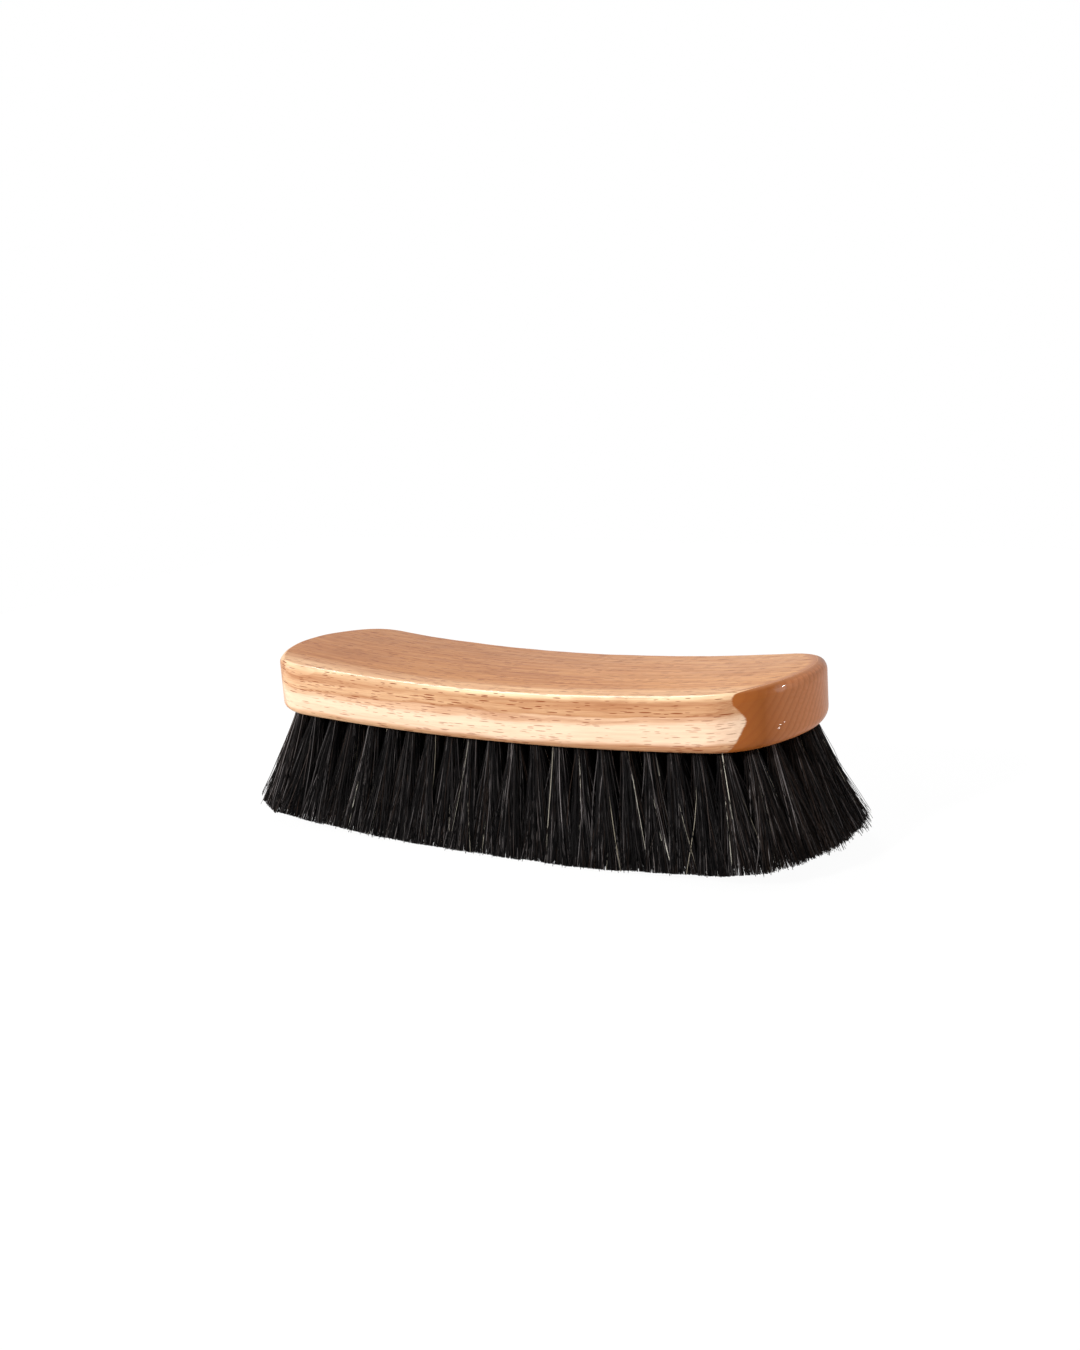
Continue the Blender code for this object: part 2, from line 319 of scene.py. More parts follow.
class Graph:
    """Short ways to add and join shader nodes."""

    def __init__(self, tree):
        self.tree = tree

    def add(self, kind, **settings):
        node = self.tree.nodes.new(kind)
        for key, value in settings.items():
            setattr(node, key, value)
        return node

    def join(self, value, socket):
        if isinstance(value, bpy.types.NodeSocket):
            self.tree.links.new(value, socket)
        else:
            socket.default_value = value

    def math(self, operation, *values):
        node = self.add("ShaderNodeMath", operation=operation)
        for value, socket in zip(values, node.inputs):
            self.join(value, socket)
        return node.outputs[0]

    def fold(self, operation, first, *others):
        for other in others:
            first = self.math(operation, first, other)
        return first

    def plus(self, *values):
        return self.fold("ADD", *values)

    def minus(self, a, b):
        return self.math("SUBTRACT", a, b)

    def times(self, *values):
        return self.fold("MULTIPLY", *values)

    def most(self, *values):
        return self.fold("MAXIMUM", *values)

    def vector(self, operation, a, b):
        node = self.add("ShaderNodeVectorMath", operation=operation)
        self.join(a, node.inputs[0])
        self.join(b, node.inputs[1])
        return node.outputs["Value"] if operation == "DOT_PRODUCT" else node.outputs[0]

    def length(self, vector):
        return self.math("SQRT", self.vector("DOT_PRODUCT", vector, vector))

    def split(self, vector):
        node = self.add("ShaderNodeSeparateXYZ")
        self.join(vector, node.inputs[0])
        return node.outputs

    def combine(self, *values):
        node = self.add("ShaderNodeCombineXYZ")
        for value, socket in zip(values, node.inputs):
            self.join(value, socket)
        return node.outputs[0]

    def ease(self, value, low, high, to_low=0.0, to_high=1.0):
        """to_low where value is low, to_high where it is high, and smooth between."""
        node = self.add("ShaderNodeMapRange", interpolation_type="SMOOTHSTEP")
        for item, socket in zip((value, low, high, to_low, to_high), node.inputs):
            self.join(item, socket)
        return node.outputs[0]

    def noise(self, place, scale, detail=2.0, roughness=0.5):
        node = self.add("ShaderNodeTexNoise")
        self.join(self.vector("MULTIPLY", place, scale), node.inputs["Vector"])
        self.join(1.0, node.inputs["Scale"])
        self.join(detail, node.inputs["Detail"])
        self.join(roughness, node.inputs["Roughness"])
        return node.outputs[0]

    def shifted(self, value, *terms):
        """value, moved by each noise's distance from its middle, times a size."""
        for noise, size in terms:
            value = self.plus(value, self.times(self.minus(noise, 0.5), size))
        return value

    def mix(self, share, a, b, blend="MIX"):
        """Colour between a and b. The node's sockets 6 and 7 and its output 2 are the colour ones."""
        node = self.add("ShaderNodeMix", data_type="RGBA", blend_type=blend)
        self.join(share, node.inputs[0])
        self.join(a, node.inputs[6])
        self.join(b, node.inputs[7])
        return node.outputs[2]

    def bump(self, height, strength, distance):
        node = self.add("ShaderNodeBump")
        self.join(strength, node.inputs["Strength"])
        self.join(distance, node.inputs["Distance"])
        self.join(height, node.inputs["Height"])
        return node.outputs[0]


def new_material(name):
    """Material, the graph of its nodes and the inputs of its shader."""
    material = bpy.data.materials.new(name)
    material.use_nodes = True
    return material, Graph(material.node_tree), material.node_tree.nodes["Principled BSDF"].inputs


def srgb(red, green, blue):
    """Linear colour of an 8-bit screen colour."""
    def linear(value):
        value /= 255
        return value / 12.92 if value <= 0.04045 else ((value + 0.055) / 1.055) ** 2.4

    return linear(red), linear(green), linear(blue), 1.0


# Beech. Lengths are in millimetres, and levels are heights above the sole of the bent block

MM = 1000

# Surface that counts as flat, by how far it faces up, and the least share that faces level
FLAT_FACING = (0.80, 0.99)
LEAST_LEVEL_SHARE = 0.05

# How far the grain bends with the block, and how much it is drawn out across it
GRAIN_RADIUS = 780
GRAIN_ACROSS_SHARE = 0.32

# Noises of the grain: frequency along, across and up, detail and roughness
GRAIN_NOISES = {
    "slow": ((0.022, 0.06, 0.06), 2.0, 0.5),
    "wander": ((0.09, 0.3, 0.3), 2.0, 0.5),
    "streak": ((0.018, 0.9, 0.9), 2.0, 0.55),
    "fibre": ((0.05, 2.4, 2.4), 3.0, 0.6),
    "fine": ((0.20, 6.0, 6.0), 2.0, 0.6),
}

# Growth rings: direction, bends by the slow and wander noises, width, and where late wood starts and stops
SIDE_RINGS = ((-0.0105, -1.60, 0.43), (5.0, 1.2), 2.3, (0.25, 0.93, 0.95))
END_RINGS = ((-0.0105, -0.80, 0.62), (3.0, 0.8), 1.9, (0.35, 0.92, 0.93))

# Pale layer in the lower half of the sides: one step, and a lower one that dips towards the ends
LAYER_SLOPE_SHARE = 0.010
LAYER_WAVES = (2.6, 1.4, 1.0)
LAYER_TOP = (8.6, 7.8)
LAYER_SHARE = 0.46
LOWER_TOP = (6.9, 5.4)
LOWER_SHARE = 0.58
LOWER_BEND = 0.00016
LAYER_BOTTOM = (1.2, 2.6)
LEFT_DROP = 0.8
LEFT_DROP_X = (-55, -25)

# Plain colours: where one gives way to the next, by the slow noise, by X or by Y
TAN_PATCHES = (0.3, 0.7)
LEFT_TAN_X = (5, -70)
LEFT_TAN_SHARE = 0.75
# Painted shade: the back grows darker towards its left end
BACK_TAN_X = (-85, 85)
# Painted highlight: a paler strip on the back along the front edge only
STRIP_Y = (-14.5, -22.5)
STRIP_SHARE = 0.80

# Worn upper edge with a painted highlight along it, by how far it faces up, patchy by the wander noise
EDGE_FACING = (0.42, 0.86)
EDGE_FACING_END = (1.0, 0.965)
EDGE_PATCHES = (0.3, 0.7)
EDGE_LEAST_SHARE = 0.45

# Dark bands along the sides, the upper one painted shade under the rounding and the lower one a line of the
# grain: height, half width, strength; then their core, and where they are weaker
SHADE_AND_GRAIN_BANDS = ((12.2, 0.9, 0.34), (9.2, 0.55, 0.30))
BAND_CORE = 0.1
BAND_PATCHES = (0.3, 0.62)
BAND_WEAK_SHARE = 0.4
BAND_X = (-80, -50)
BAND_LEFT_SHARE = 0.3
BAND_EDGES = (0.5, 0.1)

# How much the back and pale or worn wood calm the lines of the grain, and where late wood runs straight
BACK_CALM_SHARE = 0.40
CALM_SHARE = 0.6
STRAIGHT_TURNS = (0.6, 0.2)
BACK_LATE_SHARE = 0.6
LATE_STRENGTH_SHARE = 0.50

# Clouds on the back: frequency, where they are dark, strength
CLOUD_SCALE = (0.035, 0.11, 0.11)
CLOUD_DARK = (0.42, 0.68)
CLOUD_SHARE = 0.30

# End grain and painted shade on the sides: turn where it starts, later away from mid-height, with a wavy
# edge
END_TURNS = (0.655, 0.69)
END_WAVES = (0.04, 0.05)
END_MIDDLE = 8.0
END_MIDDLE_ROUND = 2.0
END_SLOPE_LEVELS = (7.0, 9.0)
END_SLOPES = (0.031, 0.050)

# End grain and painted shade on the back: distance from the centre of the end's bow, and X
BACK_END_RADII = (31.3, 34.0)
BACK_END_X = (60, 66)
END_TILT_SHARES = (0.04, 0.42)
# The left end gets less of it: the shade on the right end is painted
LEFT_END_X = (-60, 60)
LEFT_END_LESS_SHADE_SHARE = 0.35

# Colour of end grain with painted shade, deepest near the front corner: turns where it changes, its ring
# lines, its mottle and its back
END_TAN_TURNS = (0.82, 1.0)
END_LATE_SHARE = 0.24
MOTTLE_SCALE = (0.5, 1.3, 1.3)
MOTTLE_DETAIL = 3.0
MOTTLE_DARK = (0.35, 0.7)
MOTTLE_TURNS = (0.8, 0.97)
MOTTLE_SHARE = 0.30
END_BACK_SHARE = 0.8

# Flecks, for the sides and the back: how fast the two sets repeat along and across
SIDE_FLECKS = ((0.22, 1.5), (0.34, 2.1))
BACK_FLECKS = ((0.22, 1.2), (0.32, 1.6))
SIDE_FLECK_TOPS = (0.9, 0.3)
BACK_FLECK_TOPS = (0.5, 0.95)
FLECK_ENDS = (0.9, 0.2)
FLECK_DEPTH_SHARE = 0.10
FLECK_SET_SHIFT = 31.0
FLECK_START = 7.0
FLECK_THINNESS = 1.9
FLECK_SIZE_SHARES = (0.28, 0.50)
FLECK_EDGE = 0.13
FLECK_CHANCE_SHARES = (0.60, 0.72)
FLECK_STRENGTH_SHARES = (0.94, 0.80)
PALE_FLECK_SHARE = 0.58

# Runs of lacquer on the right end, placed above the ground: a drop on the upper edge, facets lower down
DROP = (81.1, -14.0, 48.7)
DROP_STRETCH = (0.6, 0.45, 1)
DROP_SIZE = (1.3, 0.6)
FACETS = (((81.47, -15.7, 38.9), 0.42), ((82.2, -14.1, 40.1), 0.32), ((81.6, -15.4, 39.8), 0.24))
FACET_CORE_SHARE = 0.7
FACET_SLOPE = (0.0, 0.0, -0.854)
RUBBED_SPOT = (68.3, -26.3, 46.6)
RUBBED_SIZE = (2.0, 0.9)

# Coat of lacquer: its share, rougher off its runs, and smoothest in those high above the ground
COAT_SHARES = (0.20, 0.8)
COAT_ROUGHNESS = 0.20
RUN_HEIGHTS = (42.0, 46.0)
RUN_ROUGHNESS = (0.17, 0.07)
RUN_BUMP_METRES = 0.001

# Surface of the wood: roughness, orange peel, open grain
ROUGH_FIBRE = (0.2, 0.9)
ROUGHNESS = (0.30, 0.46)
ROUGH_FLECK_SHARE = 0.3
WOOD_SPECULAR = 0.02
PEEL_SCALE = (0.32, 0.42, 0.42)
PEEL_HEIGHT = 2.2
GRAIN_HEIGHT = 0.5
FLECK_HEIGHT = 0.5
WOOD_BUMP_SHARE = 0.55
WOOD_BUMP_METRES = 0.00006

# Colours of the wood
SIDE_TANS = (srgb(207, 165, 126), srgb(199, 153, 114))
LEFT_TAN = srgb(222, 184, 146)
BACK_TANS_WITH_PAINTED_SHADE = (srgb(188, 124, 66), srgb(224, 162, 102))
FRONT_STRIP_HIGHLIGHT = srgb(249, 206, 160)
WORN_EDGE_AND_HIGHLIGHT = srgb(255, 226, 186)
BAND_BROWN = srgb(160, 104, 62)
CREAM = srgb(238, 208, 180)
END_GRAIN_SHADE_TANS = (srgb(156, 88, 38), srgb(208, 135, 90))
END_LINE = srgb(140, 70, 32)
END_MOTTLE = srgb(190, 106, 56)
END_BACK = srgb(172, 108, 62)
FLECK_BROWN = srgb(126, 60, 28)

# What the lines of the grain multiply the colour by
LATE_TINT = (0.72, 0.54, 0.44, 1)
FIBRE_TINT = (0.66, 0.46, 0.36, 1)
FINE_TINT = (0.60, 0.42, 0.34, 1)
CLOUD_TINT = (0.62, 0.50, 0.44, 1)

# Lines of the grain: the noise, where it is dark, strength and tint
GRAIN_LINES = (
    ("streak", (0.42, 0.66), 0.42, LATE_TINT),
    ("fibre", (0.38, 0.70), 0.46, FIBRE_TINT),
    ("fine", (0.42, 0.72), 0.36, FINE_TINT),
)


def wood_fields(g):
    """Places, directions and noises in the wood."""
    coordinates = g.add("ShaderNodeTexCoord").outputs
    wood = SimpleNamespace()
    wood.place = g.vector("MULTIPLY", coordinates["Object"], (MM, MM, MM))
    wood.x, wood.y, wood.z = g.split(wood.place)
    bend = g.times(wood.x, wood.x, 1 / (2 * GRAIN_RADIUS))
    wood.level = g.minus(g.minus(wood.z, MM * SOLE_HEIGHT), bend)

    # How far the surface faces up, and how far round to an end it is turned
    facing_x, _, wood.facing_up = g.split(coordinates["Normal"])
    wood.flat_top = g.ease(wood.facing_up, *FLAT_FACING)
    wood.level_share = g.math("SQRT", g.minus(1.0, g.times(wood.facing_up, wood.facing_up)))
    wood.turn = g.math("DIVIDE", g.math("ABSOLUTE", facing_x), g.most(wood.level_share, LEAST_LEVEL_SHARE))

    # The grain is drawn out across the block, so that it runs level round the corners
    wood.grain = g.combine(wood.x, g.times(wood.y, GRAIN_ACROSS_SHARE), wood.level)
    for name, (scale, detail, roughness) in GRAIN_NOISES.items():
        setattr(wood, name, g.noise(wood.grain, scale, detail, roughness))
    return wood


def late_wood(g, wood, place, rings):
    """Dark late part of each growth ring, 0 to 1."""
    direction, (slow_bend, wander_bend), width, (start, full, stop) = rings
    at = g.vector("DOT_PRODUCT", place, direction)
    at = g.plus(at, g.times(wood.slow, slow_bend), g.times(wood.wander, wander_bend))
    ring = g.math("FRACT", g.math("DIVIDE", at, width))
    return g.times(g.ease(ring, start, full), g.ease(ring, 1.0, stop))


def pale_layer(g, wood):
    """Height in the block with wavy edges, and the share of the pale layer there."""
    height = g.minus(wood.level, g.times(wood.x, LAYER_SLOPE_SHARE))
    height = g.shifted(height, *zip((wood.slow, wood.wander, wood.fibre), LAYER_WAVES))
    raised = g.minus(height, g.ease(wood.x, *LEFT_DROP_X, 0.0, LEFT_DROP))
    upper = g.ease(raised, *LAYER_TOP, 0.0, LAYER_SHARE)
    lower = g.ease(g.minus(raised, g.times(wood.x, wood.x, LOWER_BEND)), *LOWER_TOP, 0.0, LOWER_SHARE)
    return height, g.times(g.plus(upper, lower), g.ease(height, *LAYER_BOTTOM))


def plain_colour(g, wood, height, pale, worn_edge_and_highlight):
    """Colour of the sides and the back before the lines of the grain."""
    tan = g.mix(g.ease(wood.slow, *TAN_PATCHES), *SIDE_TANS)
    tan = g.mix(g.ease(wood.x, *LEFT_TAN_X, 0.0, LEFT_TAN_SHARE), tan, LEFT_TAN)
    # Painted shade: the back darker towards its left end
    back_tan_with_painted_light = g.mix(g.ease(wood.x, *BACK_TAN_X), *BACK_TANS_WITH_PAINTED_SHADE)
    # Painted highlight along the front edge of the back
    back_tan_with_painted_light = g.mix(g.ease(wood.y, *STRIP_Y, 0.0, STRIP_SHARE), back_tan_with_painted_light, FRONT_STRIP_HIGHLIGHT)
    tan = g.mix(wood.flat_top, tan, back_tan_with_painted_light)
    # Worn edge with a painted highlight
    tan = g.mix(worn_edge_and_highlight, tan, WORN_EDGE_AND_HIGHLIGHT)
    # The upper band is painted shade, the lower a line of the grain
    for middle, half, strength in SHADE_AND_GRAIN_BANDS:
        off = g.math("ABSOLUTE", g.minus(height, middle))
        patches = g.ease(wood.slow, *BAND_PATCHES, strength, strength * BAND_WEAK_SHARE)
        band = g.times(g.ease(off, half, BAND_CORE), patches)
        band = g.times(band, g.ease(wood.x, *BAND_X, BAND_LEFT_SHARE, 1.0))
        tan = g.mix(g.times(band, g.ease(worn_edge_and_highlight, *BAND_EDGES)), tan, BAND_BROWN)
    return g.mix(pale, tan, CREAM)


def lined_colour(g, wood, colour, pale, worn_edge_and_highlight):
    """Colour with the lines of the grain, which are weaker on the back and in pale wood."""
    calm = g.most(pale, worn_edge_and_highlight, g.times(wood.flat_top, BACK_CALM_SHARE))
    calm = g.minus(1.0, g.times(calm, CALM_SHARE))
    straight = g.most(g.ease(wood.turn, *STRAIGHT_TURNS), g.times(wood.flat_top, BACK_LATE_SHARE))
    late = g.times(late_wood(g, wood, wood.grain, SIDE_RINGS), straight)
    colour = g.mix(g.times(late, LATE_STRENGTH_SHARE, calm), colour, LATE_TINT, "MULTIPLY")
    for noise, dark, strength, tint in GRAIN_LINES:
        lines = g.ease(getattr(wood, noise), *dark)
        colour = g.mix(g.times(lines, strength, calm), colour, tint, "MULTIPLY")
    cloud = g.ease(g.noise(wood.place, CLOUD_SCALE), *CLOUD_DARK, 0.0, CLOUD_SHARE)
    cloud = g.times(cloud, wood.flat_top)
    return g.mix(cloud, colour, CLOUD_TINT, "MULTIPLY")


def end_grain_and_shade_share(g, wood):
    """1 on end grain and its painted shade. Its edge on the front corner is a wave, and follows the bow of
    the end on the back.
    """
    from_middle = g.minus(wood.level, END_MIDDLE)
    from_middle = g.math("SQRT", g.plus(g.times(from_middle, from_middle), END_MIDDLE_ROUND))
    slope = g.ease(wood.level, *END_SLOPE_LEVELS, *END_SLOPES)
    turn = g.plus(wood.turn, g.times(from_middle, slope))
    turn = g.shifted(turn, *zip((wood.wander, wood.fine), END_WAVES))
    from_end = g.vector("SUBTRACT", wood.place, (MM * END_X, 0, 0))
    radius = g.length(g.vector("MULTIPLY", from_end, (1, 1, 0)))
    near_end = g.times(g.ease(radius, *BACK_END_RADII), g.ease(wood.x, *BACK_END_X))
    tilted = g.most(g.ease(wood.level_share, *END_TILT_SHARES), near_end)
    # Less at the left end, as the right end's shade is painted
    return g.times(g.ease(turn, *END_TURNS), tilted, g.ease(wood.x, *LEFT_END_X, LEFT_END_LESS_SHADE_SHARE, 1.0))


def end_grain_and_shade_colour(g, wood):
    """Colour of end grain, which drinks the lacquer and is deeper, with painted shade deepest near the front
    corner, and fine ring lines.
    """
    # Painted shade: deepest near the front corner, lighter further round the end
    colour = g.mix(g.ease(wood.turn, *END_TAN_TURNS), *END_GRAIN_SHADE_TANS)
    late = late_wood(g, wood, wood.place, END_RINGS)
    colour = g.mix(g.times(late, END_LATE_SHARE), colour, END_LINE)
    mottled = g.ease(g.noise(wood.place, MOTTLE_SCALE, MOTTLE_DETAIL), *MOTTLE_DARK)
    mottled = g.times(mottled, g.ease(wood.turn, *MOTTLE_TURNS))
    colour = g.mix(g.times(mottled, MOTTLE_SHARE), colour, END_MOTTLE)
    return g.mix(g.times(wood.flat_top, END_BACK_SHARE), colour, END_BACK)


def fleck_set(g, wood, across, repeats):
    """Spindles along the grain, each in a cell of a random grid, where the cell has one."""
    sets = []
    for step, (along_repeat, across_repeat) in enumerate(repeats):
        depth = g.times(wood.y, FLECK_DEPTH_SHARE * along_repeat)
        place = g.combine(g.times(wood.x, along_repeat), g.times(across, across_repeat), depth)
        place = g.vector("ADD", place, (FLECK_SET_SHIFT * step, 0.0, FLECK_START))
        cells = g.add("ShaderNodeTexVoronoi", feature="F1")
        g.join(place, cells.inputs["Vector"])
        g.join(1.0, cells.inputs["Scale"])
        chance, size, _ = g.split(cells.outputs["Color"])
        apart = g.vector("SUBTRACT", place, cells.outputs["Position"])
        apart = g.length(g.vector("MULTIPLY", apart, (1.0, FLECK_THINNESS, 1.0)))
        size = g.ease(size, 0.0, 1.0, *FLECK_SIZE_SHARES)
        spindle = g.ease(g.minus(size, apart), 0.0, FLECK_EDGE)
        sets.append(g.times(spindle, g.ease(chance, *FLECK_CHANCE_SHARES)))
    return g.most(*sets)


def fleck_share(g, wood, end):
    """Short dark flecks along the grain: none on end grain and its painted shade."""
    side = g.times(fleck_set(g, wood, wood.level, SIDE_FLECKS), g.ease(wood.flat_top, *SIDE_FLECK_TOPS))
    back = g.times(fleck_set(g, wood, wood.y, BACK_FLECKS), g.ease(wood.flat_top, *BACK_FLECK_TOPS))
    return g.times(g.plus(side, back), g.ease(end, *FLECK_ENDS))


def near(g, wood, spot, stretch, size, core):
    """1 within the core of a spot, 0 past its size."""
    apart = g.vector("MULTIPLY", g.vector("SUBTRACT", wood.place, spot), stretch)
    return g.ease(g.length(apart), size, core)


def lacquer(g, wood, shader):
    """Thin clear coat, with small runs on the right end and a rubbed spot on its front corner."""
    slopes = []
    runs = [near(g, wood, DROP, DROP_STRETCH, *DROP_SIZE)]
    for spot, size in FACETS:
        facet = near(g, wood, spot, (1, 1, 1), size, size * FACET_CORE_SHARE)
        slope = g.vector("DOT_PRODUCT", g.vector("SUBTRACT", wood.place, spot), FACET_SLOPE)
        slopes.append(g.times(slope, facet))
        runs.append(facet)
    runs = g.most(*runs)
    rubbed = near(g, wood, RUBBED_SPOT, (1, 1, 1), *RUBBED_SIZE)
    coat = g.ease(runs, 0.0, 1.0, *COAT_SHARES)
    g.join(g.times(coat, g.ease(rubbed, 1.0, 0.0)), shader["Coat Weight"])
    smooth = g.ease(wood.z, *RUN_HEIGHTS, *RUN_ROUGHNESS)
    g.join(g.ease(runs, 0.0, 1.0, COAT_ROUGHNESS, smooth), shader["Coat Roughness"])
    g.join(g.bump(g.plus(*slopes), 1.0, RUN_BUMP_METRES), shader["Coat Normal"])


def beech_material():
    """Clear-lacquered beech, its grain along X and bent with the block."""
    material, g, shader = new_material("beech_lacquered")
    wood = wood_fields(g)
    height, pale = pale_layer(g, wood)
    # Paler upper edge: partly wear, partly painted highlight
    worn_edge_and_highlight = g.times(g.ease(wood.facing_up, *EDGE_FACING), g.ease(wood.facing_up, *EDGE_FACING_END))
    worn_edge_and_highlight = g.times(worn_edge_and_highlight, g.ease(wood.wander, *EDGE_PATCHES, EDGE_LEAST_SHARE, 1.0))
    end = end_grain_and_shade_share(g, wood)
    flecks = fleck_share(g, wood, end)

    colour = plain_colour(g, wood, height, pale, worn_edge_and_highlight)
    colour = lined_colour(g, wood, colour, pale, worn_edge_and_highlight)
    # End grain and painted shade on the right end
    colour = g.mix(end, colour, end_grain_and_shade_colour(g, wood))
    strength = g.ease(wood.flat_top, 0.0, 1.0, *FLECK_STRENGTH_SHARES)
    strength = g.times(strength, g.ease(pale, 0.0, 1.0, 1.0, PALE_FLECK_SHARE))
    colour = g.mix(g.times(flecks, strength), colour, FLECK_BROWN)
    g.join(colour, shader["Base Color"])

    rough = g.plus(wood.fibre, g.times(flecks, ROUGH_FLECK_SHARE))
    g.join(g.ease(rough, *ROUGH_FIBRE, *ROUGHNESS), shader["Roughness"])
    g.join(WOOD_SPECULAR, shader["Specular IOR Level"])
    lacquer(g, wood, shader)

    # Open grain and orange peel
    peel = g.noise(wood.place, PEEL_SCALE)
    surface = g.minus(g.times(wood.fine, GRAIN_HEIGHT), g.times(flecks, FLECK_HEIGHT))
    surface = g.plus(surface, g.times(peel, PEEL_HEIGHT))
    g.join(g.bump(surface, WOOD_BUMP_SHARE, WOOD_BUMP_METRES), shader["Normal"])
    return material


# Hair material

# Darkest, lightest and brown colour, and roughness
DARK_HAIR = (srgb(7, 7, 8), srgb(136, 130, 130), srgb(84, 66, 56), 0.46)
PALE_HAIR = (srgb(150, 142, 126), srgb(250, 246, 232), srgb(220, 196, 156), 0.40)

# Patches along each hair: frequency per metre, and how they change its tone and its roughness
HAIR_PATCHES_SCALE = (300, 300, 90)
HAIR_TONE_PATCHES = (0.3, 0.7)
HAIR_TONE_LEAST_SHARE = 0.55
HAIR_ROUGH_PATCHES = (0.2, 0.8)
HAIR_ROUGH_CHANGES = (-0.06, 0.08)
HAIR_SPECULAR = 0.03


def hair_material(name, dark, light, brown, roughness):
    """Hair whose tone is partly its own and partly painted sheen, and changes a little along it."""
    material, g, shader = new_material(name)
    tone = g.add("ShaderNodeAttribute", attribute_name="tone").outputs["Fac"]
    warmth = g.add("ShaderNodeAttribute", attribute_name="warmth").outputs["Fac"]
    place = g.add("ShaderNodeTexCoord").outputs["Object"]
    patches = g.noise(place, HAIR_PATCHES_SCALE)
    share = g.times(tone, g.ease(patches, *HAIR_TONE_PATCHES, HAIR_TONE_LEAST_SHARE, 1.0))
    colour = g.mix(share, dark, light)
    colour = g.mix(warmth, colour, brown)
    g.join(colour, shader["Base Color"])
    rough = [roughness + change for change in HAIR_ROUGH_CHANGES]
    g.join(g.ease(patches, *HAIR_ROUGH_PATCHES, *rough), shader["Roughness"])
    g.join(HAIR_SPECULAR, shader["Specular IOR Level"])
    return material


# Block

OUTLINE_STEPS = [(run, step / steps) for run, steps in zip(RUNS, RUN_STEPS * 2) for step in range(steps)]


def outline_at(index, inset):
    run, share = OUTLINE_STEPS[index]
    return run_place(run, share, inset)[:2]


def outline_distances():
    """How far along the outline each of its steps is."""
    distances = []
    travelled = 0.0
    for run, steps in zip(RUNS, RUN_STEPS * 2):
        distances += [travelled + run_length(run, 0.0) * step / steps for step in range(steps)]
        travelled += run_length(run, 0.0)
    return distances


def sanded(distance, shift):
    """Uneven hand of the sander along the edges, from -1 to 1."""
    total = sum(run_length(run, 0.0) for run in RUNS)
    turn = 2 * math.pi * distance / total
    return sum(size * math.sin(count * turn + start + shift) for count, size, start in SANDING_WAVES)


def round_share(index):
    """Share of the rounding that is left at a step of the outline: the left end is sharper."""
    x, _ = outline_at(index, 0.0)
    return 1 - CRISP_SHARE * min(max((-x - CRISP_START) / CRISP_LENGTH, 0.0), 1.0)


def block_rings():
    """Rings round the outside, from the flat of the sole to the flat of the back."""
    angles = [math.pi / 2 * step / ROUND_STEPS for step in range(ROUND_STEPS + 1)]
    distances = outline_distances()
    rings = []
    for angle in angles:
        ring = []
        for index, distance in enumerate(distances):
            height = SOLE_ROUND_HEIGHT * round_share(index) + SANDING * sanded(distance, SOLE_SHIFT)
            x, y = outline_at(index, SOLE_ROUND * (1 - math.sin(angle)))
            ring.append((x, y, sole_z(x) + height * (1 - math.cos(angle))))
        rings.append(ring)
    for angle in reversed(angles):
        ring = []
        for index, distance in enumerate(distances):
            size = BACK_ROUND * round_share(index) + SANDING * sanded(distance, BACK_SHIFT)
            x, y = outline_at(index, size * (1 - math.sin(angle)))
            ring.append((x, y, back_z(x) - size * (1 - math.cos(angle))))
        rings.append(ring)
    return rings


def close_back(shape, top):
    """Strips across the back, between the two long halves of its ring."""
    count = len(top)
    tip = count - RUN_STEPS[3] - RUN_STEPS[2] // 2
    front = [(tip + step) % count for step in range(count // 2 + 1)]
    mirror = 2 * (RUN_STEPS[0] + RUN_STEPS[1]) + RUN_STEPS[2]
    back = [(mirror - index) % count for index in front]
    for step in range(count // 2):
        corners = [front[step], front[step + 1], back[step + 1], back[step]]
        shape.faces.new([top[index] for index in dict.fromkeys(corners)])


def close_sole(shape, sole, groups):
    """Sole inside its ring, with a blind hole for each tuft."""
    count = len(sole)
    flat = [Vector(vert.co[:2]) for vert in sole]
    loops = [list(range(count))]
    for tufts in groups.values():
        for x, y, _ in tufts:
            start = len(flat)
            for step in range(HOLE_SIDES):
                angle = 2 * math.pi * step / HOLE_SIDES
                flat.append(Vector((x + HOLE_RADIUS * math.cos(angle), y + HOLE_RADIUS * math.sin(angle))))
            loops.append(list(range(start, start + HOLE_SIDES)))
    edges = [(loop[i], loop[(i + 1) % len(loop)]) for loop in loops for i in range(len(loop))]
    places, _, faces, origins, _, owners = geometry.delaunay_2d_cdt(flat, edges, loops, 1, SAME_PLACE)

    made = {}
    for index, origin in enumerate(origins):
        first = origin[0] if origin else None
        if first is not None and first < count:
            made[index] = sole[first]
        else:
            x, y = places[index]
            made[index] = shape.verts.new((x, y, sole_z(x)))
    by_input = {origin[0]: made[index] for index, origin in enumerate(origins) if origin}
    for face, owner in zip(faces, owners):
        if owner == [0]:
            shape.faces.new([made[index] for index in face])
    for loop in loops[1:]:
        mouth = [by_input[index] for index in loop]
        floor = [shape.verts.new((v.co.x, v.co.y, v.co.z + HOLE_DEPTH)) for v in mouth]
        for index in range(HOLE_SIDES):
            after = (index + 1) % HOLE_SIDES
            shape.faces.new((mouth[index], mouth[after], floor[after], floor[index]))
        shape.faces.new(floor)


